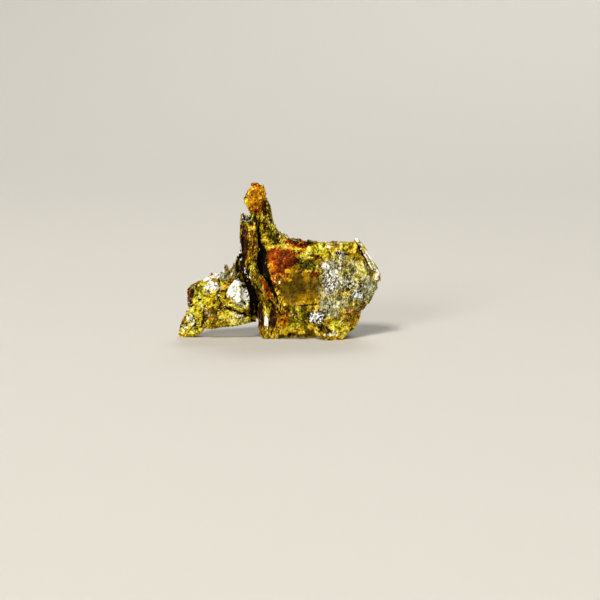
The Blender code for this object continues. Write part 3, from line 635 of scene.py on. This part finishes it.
# Loose scales, slats and grains: which regions, which mineral they sit on, how many, half length, width for
# the length, thickness, lean in degrees, and how far each lies along the surface, not along the cleavage
scaleSets = {
    "massScales": dict(regions=(0, 8), on=None, count=1500, half=(0.12, 0.4),
                        slim=(0.5, 0.9), thick=(0.05, 0.12), lean=14, lie=0.7),
    "pearlScales": dict(regions=(0, 7, 8), on="pearl", count=1000, half=(0.2, 0.55),
                        slim=(0.3, 0.5), thick=(0.04, 0.1), lean=10, lie=0.6),
    "wingScales": dict(regions=(1,), on=None, count=1500, half=(0.12, 0.4),
                        slim=(0.5, 0.9), thick=(0.05, 0.12), lean=16, lie=0.7),
    "spireSlats": dict(regions=(2, 3), on=None, count=420, half=(0.5, 1.6),
                        slim=(0.1, 0.22), thick=(0.06, 0.16), lean=6, lie=0.5),
    "fringeSlats": dict(regions=(9,), on=None, count=260, half=(0.3, 1.1),
                        slim=(0.12, 0.28), thick=(0.05, 0.12), lean=12, lie=0.3),
    "knobGrains": dict(regions=(4,), on=None, count=120, half=(0.2, 0.5),
                        slim=(0.6, 1), thick=(0.08, 0.2), lean=20, lie=0.9),
    "prismSlats": dict(regions=(6,), on=None, count=160, half=(0.4, 1.3),
                        slim=(0.15, 0.3), thick=(0.06, 0.14), lean=6, lie=0.8),
    "redGrains": dict(regions=(0, 2), on="realgar", count=260, half=(0.12, 0.35),
                        slim=(0.5, 1), thick=(0.08, 0.2), lean=25, lie=0.9),
    "edgeSlats": dict(regions=(7,), on=None, count=420, half=(0.3, 1.3),
                        slim=(0.1, 0.25), thick=(0.05, 0.1), lean=6, lie=0.3),
    "backScales": dict(regions=(5,), on=None, count=2000, half=(0.15, 0.7),
                        slim=(0.4, 0.8), thick=(0.05, 0.14), lean=10, lie=0.5),
}
# each one's own shape: its corners, how uneven their angles and reach are, how far it is turned from the
# grain, how deep it is sunk and how high it stands for its thickness, and how far its top is drawn in
scaleForm = {"corners": 6, "uneven": 0.42, "reach": (0.65, 1.15), "astray": 0.35, "sunk": 1.4, "raised": 0.5,
             "drawnIn": 0.9}


def makeScales(name, settings, seed, ground, material):
    # plates: a ring of corners at uneven angles below, and the same ring drawn in above
    points, normals, region, window, number, realgar, pearl = ground
    draw = np.random.default_rng(seed)
    weight = np.isin(region, settings["regions"]) * (1 - window)
    weight = weight * np.maximum({None: 1, "realgar": realgar, "pearl": pearl}[settings["on"]], 0)
    picked = draw.choice(len(points), settings["count"], p=weight / weight.sum())
    count = settings["count"]
    spread = {key: draw.uniform(*settings[key], count) for key in ("half", "slim", "thick")}
    facing, along, _ = framesOf(region[picked])
    facing = facing * np.where((facing * normals[picked]).sum(-1, keepdims=True) < 0, -1, 1)
    lean = math.tan(math.radians(settings["lean"])) * draw.uniform(-1, 1, (count, 3))
    up = unit(unit(facing * (1 - settings["lie"]) + normals[picked] * settings["lie"]) + lean)
    along = unit(along + scaleForm["astray"] * draw.uniform(-1, 1, (count, 3)))
    along = unit(along - up * (along * up).sum(-1, keepdims=True))
    across = np.cross(up, along)
    sides = scaleForm["corners"]
    place = np.arange(sides) + draw.uniform(-scaleForm["uneven"], scaleForm["uneven"], (count, sides))
    angle = 2 * math.pi * place / sides
    reach = draw.uniform(*scaleForm["reach"], (count, sides)) * spread["half"][:, None]
    ring = (along[:, None] * (reach * np.cos(angle))[..., None]
            + across[:, None] * (reach * np.sin(angle) * spread["slim"][:, None])[..., None])
    seat = points[picked][:, None]
    rise = (up * spread["thick"][:, None])[:, None]
    below = seat + ring - rise * scaleForm["sunk"]
    above = seat + ring * scaleForm["drawnIn"] + rise * scaleForm["raised"]
    corners = insideBox(np.stack([below, above], axis=1).reshape(-1, 3))
    k = np.arange(sides)
    top, bottom = k + sides, k[::-1]
    following = (k + 1) % sides
    edges = np.stack([k, following, following + sides, k + sides], axis=-1)
    first = (np.arange(count) * 2 * sides)[:, None]
    faces = (first + top).tolist() + (first + bottom).tolist()
    faces += (first[..., None] + edges).reshape(-1, 4).tolist()
    own = finishes(points[picked], normals[picked])
    own |= {"number": 0.6 * number[picked] + 0.4 * draw.uniform(0, 1, count), "low": np.zeros(count)}
    own = {key: np.repeat(own[key], 2 * sides) for key in own}
    own["grain"] = grainFor(corners, np.repeat(region[picked], 2 * sides))
    return madeMesh(name, corners, faces, own, material)


# colour stops from the darkest crystals of each mineral to its brightest
mineralColours = {
    "orpiment": [(0.05, "#160B00"), (0.25, "#684800"), (0.5, "#AC8A00"), (0.74, "#D8BE1E"),
                 (0.96, "#FCF084")],
    "lemon": [(0.05, "#2A2400"), (0.22, "#8C8000"), (0.45, "#D6CC28"), (0.7, "#F0E64A"), (0.92, "#FFFCB4")],
    "olive": [(0.05, "#100D00"), (0.28, "#403800"), (0.55, "#706800"), (0.8, "#AAA60C"), (1, "#E8E870")],
    "realgar": [(0.05, "#280800"), (0.28, "#6C2200"), (0.52, "#9C3C00"), (0.76, "#CC6A00"),
                (0.95, "#FFC030")],
    "rust": [(0.1, "#050100"), (0.4, "#240B02"), (0.65, "#5C2604"), (0.85, "#9A5A10"), (1, "#D8A840")],
    "honey": [(0.05, "#421800"), (0.28, "#804000"), (0.5, "#B87A00"), (0.75, "#EAB010"), (1, "#FFE668")],
    "amber": [(0.1, "#302200"), (0.35, "#604800"), (0.52, "#846200"), (0.7, "#AE7E00"), (0.9, "#ECBE28")],
    # pearl: grey to white, partly the cleavage faces' own pale colour and partly a painted sheen of light off
    # them
    "pearl": [(0.05, "#1C1A08"), (0.22, "#625C30"), (0.45, "#949468"), (0.68, "#CCCCA6"), (0.88, "#FFFFF4")],
    # umber: the black of the dark specks and of the painted shade in the cracks
    "umber": [(0, "#000000"), (0.35, "#060301"), (0.6, "#1C0E04"), (0.85, "#3A2208"), (1, "#6A4A14")],
    # glint: painted highlight, the white of light glancing off plates and edges
    "glint": [(0, "#B4B8A0"), (0.2, "#F0F2E4"), (0.4, "#FFFFFF")],
}


# how many of each pattern's features go to a metre: mottling of 0.4 mm, crystals of 0.33 mm in clusters of
# 1.1 mm, and the shake that makes the crystals ragged, by up to 0.15 mm
patterns = {"mottling": 2300, "shake": 3300, "crystals": 3000, "clusters": 900, "shakeReach": 0.6 * mm}

# orpiment's own IOR is above 2.4, drawn lower for its dull broken skin. Its faces are pearly to resinous,
# the window is smoother, and the dark specks and the painted shade in the cracks have no gloss
gloss = {"ior": 1.5, "specular": 0.16, "tint": "#FFE2A0", "smoothest": 0.14, "roughest": 0.42,
         "window": 0.18, "specksAndShade": 0.9}


def foliatedOrpiment():
    # orpiment and realgar broken along the cleavage: pearly plates, resinous edges, dark dirt in the cracks
    material = bpy.data.materials.new("foliated orpiment with realgar")
    material.use_nodes = True
    tree = material.node_tree
    shader = tree.nodes["Principled BSDF"]
    shader.inputs["IOR"].default_value = gloss["ior"]
    shader.inputs["Specular IOR Level"].default_value = gloss["specular"]
    shader.inputs["Specular Tint"].default_value = linear(gloss["tint"])
    read = {key: addNode(tree, "Attribute", {"attribute_name": key}, {}).outputs["Fac"]
            for key in minerals + ("number", "low")}
    grain = addNode(tree, "Attribute", {"attribute_name": "grain"}, {}).outputs["Vector"]
    fine = addNode(tree, "TexNoise", {2: patterns["mottling"], 3: 3, 4: 0.65}, {0: grain}).outputs[0]
    # ragged crystals: the grain's place is shaken before it is cut into cells
    shake = addNode(tree, "TexNoise", {2: patterns["shake"], 3: 2, 4: 0.6}, {0: grain}).outputs[1]
    shake = addNode(tree, "VectorMath", {"operation": "SUBTRACT", 1: (0.5,) * 3}, {0: shake}).outputs[0]
    shaken = addNode(tree, "VectorMath", {"operation": "MULTIPLY_ADD", 1: (patterns["shakeReach"],) * 3},
                     {0: shake, 2: grain})
    cells = addNode(tree, "TexVoronoi", {2: patterns["crystals"]}, {0: shaken.outputs[0]})
    clusters = addNode(tree, "TexVoronoi", {2: patterns["clusters"]}, {0: shaken.outputs[0]})
    lots = addNode(tree, "Mix", {"data_type": "RGBA", 0: 0.3},
                   {6: cells.outputs["Color"], 7: clusters.outputs["Color"]})
    lots = addNode(tree, "SeparateColor", {}, {0: lots.outputs[2]}).outputs

    # tone, from each crystal's darkest to brightest: its plate's number, its own number and the mottling,
    # with painted shade in the hollows and painted highlight on the crests
    mottle = addNode(tree, "MapRange", {1: 0.32, 2: 0.68, 3: -0.3, 4: 0.3}, {0: fine}).outputs[0]
    scaled = {"operation": "MULTIPLY_ADD", 1: 0.5}
    mottle = addNode(tree, "Math", scaled, {0: lots[0], 2: mottle}).outputs[0]
    # painted shade: darker in the hollows and grooves; painted highlight: lighter on the crests
    mottle = addNode(tree, "Math", scaled | {1: -0.4}, {0: read["low"], 2: mottle}).outputs[0]
    glassy = addNode(tree, "Math", {"operation": "MAXIMUM"}, {0: read["realgar"], 1: read["honey"]})
    glassy = glassy.outputs[0]
    glassy = addNode(tree, "Math", {"operation": "MULTIPLY", 1: 0.6}, {0: glassy}).outputs[0]
    glassy = addNode(tree, "Math", {"operation": "MAXIMUM"}, {0: read["amber"], 1: glassy}).outputs[0]
    quiet = addNode(tree, "MapRange", {1: 0.2, 2: 0.9, 3: 1, 4: 0.5}, {0: glassy}).outputs[0]
    mottle = addNode(tree, "Math", {"operation": "MULTIPLY"}, {0: mottle, 1: quiet}).outputs[0]
    tone = addNode(tree, "Math", scaled, {0: read["number"], 2: mottle}).outputs[0]
    colour = addNode(tree, "ValToRGB", {"stops": mineralColours["orpiment"]}, {0: tone}).outputs[0]
    for order, kind in enumerate(minerals):
        # a crystal turns to this mineral where the cover there is more than the crystal's own lot
        lot = addNode(tree, "Math", {"operation": "SUBTRACT"}, {0: read[kind], 1: lots[order % 3]}).outputs[0]
        taken = addNode(tree, "MapRange", {1: -0.06, 2: 0.06}, {0: lot}).outputs[0]
        layer = addNode(tree, "ValToRGB", {"stops": mineralColours[kind]}, {0: tone}).outputs[0]
        colour = addNode(tree, "Mix", {"data_type": "RGBA"}, {0: taken, 6: colour, 7: layer}).outputs[2]
    tree.links.new(colour, shader.inputs["Base Color"])

    faces = {1: 0.3, 2: 0.7, 3: gloss["smoothest"], 4: gloss["roughest"]}
    rough = addNode(tree, "MapRange", faces, {0: fine}).outputs[0]
    rough = addNode(tree, "Mix", {3: gloss["window"]}, {0: read["amber"], 2: rough}).outputs[0]
    # no gloss on the dark specks and the painted shade
    rough = addNode(tree, "Mix", {3: gloss["specksAndShade"]}, {0: read["umber"], 2: rough}).outputs[0]
    tree.links.new(rough, shader.inputs["Roughness"])

    # small crystal faces: how far a point is from its crystal's centre along that crystal's own lean
    fromCentre = addNode(tree, "VectorMath", {"operation": "SUBTRACT"},
                         {0: shaken.outputs[0], 1: cells.outputs["Position"]})
    own = addNode(tree, "VectorMath", {"operation": "SUBTRACT", 1: (0.5,) * 3}, {0: cells.outputs["Color"]})
    height = addNode(tree, "VectorMath", {"operation": "DOT_PRODUCT"},
                     {0: fromCentre.outputs[0], 1: own.outputs[0]})
    strength = addNode(tree, "MapRange", {1: 0, 2: 1, 3: 0.6, 4: 0.1}, {0: glassy}).outputs[0]
    bump = addNode(tree, "Bump", {}, {0: strength, "Height": height.outputs["Value"]})
    bump.inputs["Distance"].default_value = 1.0
    tree.links.new(bump.outputs[0], shader.inputs["Normal"])
    return material


# in metres, as the lights and the camera are
stage = {"floor": "#D9D6D0", "world": "#D2D2D0", "worldStrength": 0.18, "floorRadius": 0.6,
         "sweepRadius": 2.8, "wallHeight": 3.2, "innerRadius": 0.02, "sides": 72, "sweepSteps": 20}
lights = {
    "keyLight": dict(place=(-0.64, -1.36, 1.84), aim=(0, 0, 0.015), size=(0.58, 0.58), power=37,
                     colour="#FFFAF0"),
    "faceLight": dict(place=(-0.78, -1.43, 0.52), aim=(0.005, 0, 0.012), size=(0.52, 0.52), power=14.5,
                      colour="#FFFCF6"),
    "backLight": dict(place=(0.4, 1.6, 1.6), aim=(0, 0, 0.02), size=(1.2, 0.8), power=18, colour="#FFFFFF"),
}


def softBox(name, place, aim, size, power, colour):
    # a rectangular light, turned to face its aim
    light = bpy.data.lights.new(name, "AREA")
    light.shape = "RECTANGLE"
    light.size, light.size_y = size
    light.energy = power
    light.color = linear(colour)[:3]
    lamp = bpy.data.objects.new(name, light)
    lamp.visible_camera = False
    bpy.context.scene.collection.objects.link(lamp)
    lamp.location = place
    lamp.rotation_euler = (Vector(aim) - Vector(place)).to_track_quat("-Z", "Y").to_euler()


def makeStage():
    # a round floor that sweeps up into a wall on every side: its profile is a flat, a quarter circle and a
    # wall, and each ring of it turns about the piece
    turn = np.linspace(0, math.pi / 2, stage["sweepSteps"])
    flat, bend, wall = stage["floorRadius"], stage["sweepRadius"], stage["wallHeight"]
    sweep = np.stack([flat + bend * np.sin(turn), bend - bend * np.cos(turn)], -1)
    profile = np.concatenate([[[stage["innerRadius"], 0]], sweep, [[flat + bend, wall]]])
    sides = stage["sides"]
    k = np.arange(sides)
    angle = k * math.tau / sides
    grid = np.stack([profile[:, :1] * np.cos(angle), profile[:, :1] * np.sin(angle),
                     np.repeat(profile[:, 1:], sides, axis=1)], -1).reshape(-1, 3)
    following = (k + 1) % sides
    ring = np.stack([k, following, following + sides, k + sides], -1)
    rings = (np.arange(len(profile) - 1)[:, None, None] * sides + ring).reshape(-1, 4)
    mesh = bpy.data.meshes.new("floor")
    mesh.from_pydata(grid, [], rings.tolist() + [k[::-1].tolist()])
    mesh.shade_smooth()
    paper = bpy.data.materials.new("matt paper sweep")
    paper.use_nodes = True
    paper.node_tree.nodes["Principled BSDF"].inputs["Base Color"].default_value = linear(stage["floor"])
    paper.node_tree.nodes["Principled BSDF"].inputs["Roughness"].default_value = 0.9
    mesh.materials.append(paper)
    floor = bpy.data.objects.new("floor", mesh)
    bpy.context.scene.collection.objects.link(floor)
    world = bpy.data.worlds.new("studio")
    world.use_nodes = True
    world.node_tree.nodes["Background"].inputs[0].default_value = linear(stage["world"])
    world.node_tree.nodes["Background"].inputs[1].default_value = stage["worldStrength"]
    bpy.context.scene.world = world
    for name, light in lights.items():
        softBox(name, **light)


camera = {"elevation": 8, "lens": 85, "distance": 0.3542, "aim": (0.00525, 0, 0.00926)}


def makeCamera():
    # a long lens in front of the show face, a little above it
    lens = bpy.data.cameras.new("camera")
    lens.lens = camera["lens"]
    lens.clip_start = 0.005
    view = bpy.data.objects.new("camera", lens)
    bpy.context.scene.collection.objects.link(view)
    tilt = math.radians(camera["elevation"])
    back = Vector((0, -math.cos(tilt), math.sin(tilt)))
    view.location = Vector(camera["aim"]) + back * camera["distance"]
    view.rotation_euler = (-back).to_track_quat("-Z", "Y").to_euler()
    bpy.context.scene.camera = view


makeCamera()
makeStage()
print("camera, floor and lights made")
skinMaterial = foliatedOrpiment()
grounds = [makeRock(name, piece, skinMaterial) for name, piece in rock["pieces"].items()]
ground = [np.concatenate(parts) for parts in zip(*grounds)]
for order, (name, settings) in enumerate(scaleSets.items()):
    makeScales(name, settings, 100 + order, ground, skinMaterial)
print("scales, slats and grains made:", sum(settings["count"] for settings in scaleSets.values()))

bpy.context.scene.view_settings.view_transform = "Standard"
